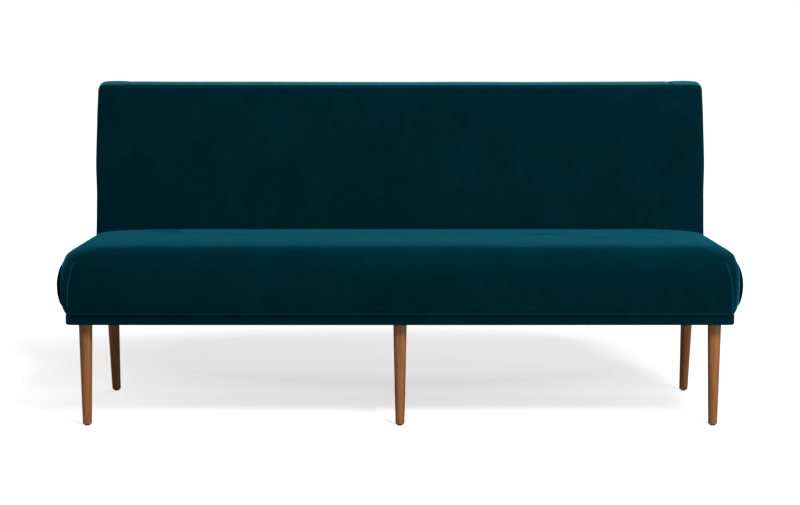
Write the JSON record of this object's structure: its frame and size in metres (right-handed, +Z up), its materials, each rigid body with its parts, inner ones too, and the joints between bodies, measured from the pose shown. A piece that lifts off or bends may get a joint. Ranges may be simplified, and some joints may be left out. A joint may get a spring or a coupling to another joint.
{
  "type": "upholstered dining bench",
  "caption": "Armless upholstered dining bench in deep teal velvet, with a plump crowned seat, a raked tight back and tapered turned wooden legs.",
  "frame": {"origin": "on the floor, below the middle of the whole bench's width and depth", "axes": "+X along the bench's width, +Y from the front to the back, +Z up"},
  "size_m": [1.802, 0.7014, 0.888],
  "materials": {
    "frame_wood": "sawn hardwood and plywood, unfinished",
    "leg_wood": "turned hardwood, mid-brown stain, satin lacquer",
    "glide_plastic": "moulded black nail-on glide",
    "velvet": "short-pile velvet, deep teal",
    "foam": "cut polyurethane foam with fibre wrap",
    "steel": "zinc-plated steel",
    "burlap": "plain woven cloth and elastic strap",
    "board": "hardboard panel",
    "dust_cloth": "black non-woven cambric"
  },
  "bodies": {
    "root": {"seat_front_rail": "frame_wood", "seat_rear_rail": "frame_wood", "seat_left_rail": "frame_wood", "seat_right_rail": "frame_wood", "seat_cross_rail_left_outer": "frame_wood", "seat_cross_rail_left_inner": "frame_wood", "seat_cross_rail_right_inner": "frame_wood", "seat_cross_rail_right_outer": "frame_wood", "leg_block_front_left": "frame_wood", "leg_block_front_centre": "frame_wood", "leg_block_front_right": "frame_wood", "leg_block_rear_left": "frame_wood", "leg_block_rear_centre": "frame_wood", "leg_block_rear_right": "frame_wood", "back_post_left": "frame_wood", "back_post_right": "frame_wood", "back_upright_left": "frame_wood", "back_upright_centre": "frame_wood", "back_upright_right": "frame_wood", "back_top_rail": "frame_wood", "back_tack_rail": "frame_wood", "leg_front_left": "leg_wood", "leg_front_centre": "leg_wood", "leg_front_right": "leg_wood", "leg_rear_left": "leg_wood", "leg_rear_centre": "leg_wood", "leg_rear_right": "leg_wood", "glide_front_left": "glide_plastic", "glide_front_centre": "glide_plastic", "glide_front_right": "glide_plastic", "glide_rear_left": "glide_plastic", "glide_rear_centre": "glide_plastic", "glide_rear_right": "glide_plastic", "seat_top_cover": "velvet", "seat_end_panel_left": "velvet", "seat_end_panel_right": "velvet", "base_band": "velvet", "inside_back_cover": "velvet", "back_top_boxing": "velvet", "back_end_boxing_left": "velvet", "back_end_boxing_right": "velvet", "outside_back_cover": "velvet", "seat_foam": "foam", "back_foam": "foam", "seat_springs": "steel", "spring_clips": "steel", "frame_screws": "steel", "leg_hanger_bolts": "steel", "leg_t_nuts": "steel", "seat_deck_cloth": "burlap", "back_webbing": "burlap", "outside_back_board": "board", "dust_cover": "dust_cloth"}
  },
  "joints": []
}
